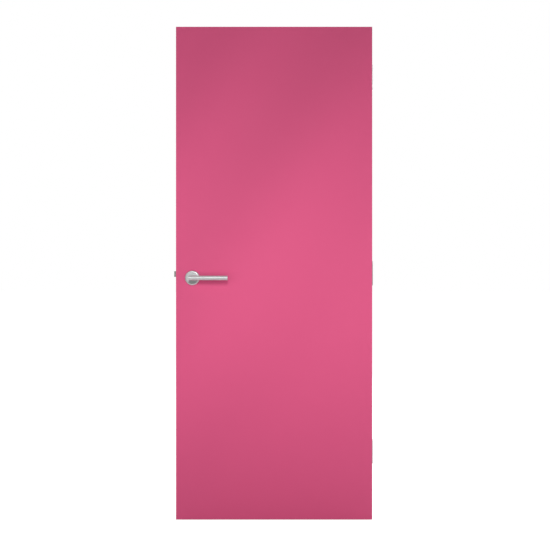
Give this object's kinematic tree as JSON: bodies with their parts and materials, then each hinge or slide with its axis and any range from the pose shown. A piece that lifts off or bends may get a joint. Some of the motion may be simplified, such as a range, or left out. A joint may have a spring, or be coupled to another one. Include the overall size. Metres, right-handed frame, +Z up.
{
  "type": "flush laminate fire door leaf",
  "caption": "Flush fire door leaf faced in pink laminate, with butt hinges, edge seals, a mortice latch and a round-bar lever handle on each face.",
  "frame": {"origin": "on the outer face of the middle hinge's frame flap, level with the middle of the leaf's thickness and height", "axes": "+X from the leaf towards the frame's jamb on the hinge side, -Y out of the push side that the picture shows, +Z up"},
  "size_m": [0.8275, 0.164, 2.032],
  "materials": {
    "laminate": "satin pink high-pressure laminate",
    "subface": "hardboard, sanded",
    "core": "particleboard, sawn",
    "softwood": "planed softwood",
    "lipping": "lacquered hardwood",
    "seal": "brown plastic cased intumescent strip",
    "brush": "nylon pile",
    "satin_steel": "satin stainless steel",
    "hinge_steel": "satin stainless steel",
    "pin_steel": "turned stainless steel",
    "case_steel": "passivated pressed steel",
    "bolt_metal": "nickel plated latch bolt",
    "base_metal": "zinc plated die casting"
  },
  "bodies": {
    "hinges": {"top_hinge_frame_flap": "hinge_steel", "top_hinge_pin": "pin_steel", "top_hinge_bearings": "pin_steel", "middle_hinge_frame_flap": "hinge_steel", "middle_hinge_pin": "pin_steel", "middle_hinge_bearings": "pin_steel", "bottom_hinge_frame_flap": "hinge_steel", "bottom_hinge_pin": "pin_steel", "bottom_hinge_bearings": "pin_steel"},
    "leaf": {"core": "core", "lock_stile": "softwood", "hinge_stile": "softwood", "top_rail": "softwood", "bottom_rail": "softwood", "front_subface": "subface", "back_subface": "subface", "front_laminate": "laminate", "back_laminate": "laminate", "lock_lipping": "lipping", "hinge_lipping": "lipping", "lock_edge_seal": "seal", "hinge_edge_seal": "seal", "top_edge_seal": "seal", "lock_edge_brush": "brush", "hinge_edge_brush": "brush", "top_edge_brush": "brush", "latch_case": "case_steel", "latch_forend": "satin_steel", "rose_bolts": "base_metal", "front_rose_base": "base_metal", "back_rose_base": "base_metal", "front_rose_cover": "satin_steel", "back_rose_cover": "satin_steel", "top_hinge_leaf_flap": "hinge_steel", "middle_hinge_leaf_flap": "hinge_steel", "bottom_hinge_leaf_flap": "hinge_steel"},
    "handle": {"front_lever": "satin_steel", "back_lever": "satin_steel", "spindle": "pin_steel", "follower": "base_metal"},
    "bolt": {"latch_bolt": "bolt_metal"}
  },
  "joints": [
    {"name": "leaf_swing", "type": "hinge", "parent": "hinges", "child": "leaf", "pos_m": [-0.004, 0.029, 0], "axis": [0, 0, -1], "range_deg": [0, 110]},
    {"name": "handle_turn", "type": "hinge", "parent": "leaf", "child": "handle", "pos_m": [-0.745, 0, -0.0195], "axis": [0, 1, 0], "range_deg": [0, 40], "stiffness_Nm_per_rad": 0.8, "springref_deg": -91.67},
    {"name": "bolt_slide", "type": "slide", "parent": "leaf", "child": "bolt", "axis": [1, 0, 0], "range_m": [0, 0.012]}
  ],
  "couplings": [
    {"joint": "bolt_slide", "follows": "handle_turn", "m_per_rad": 0.01718}
  ]
}
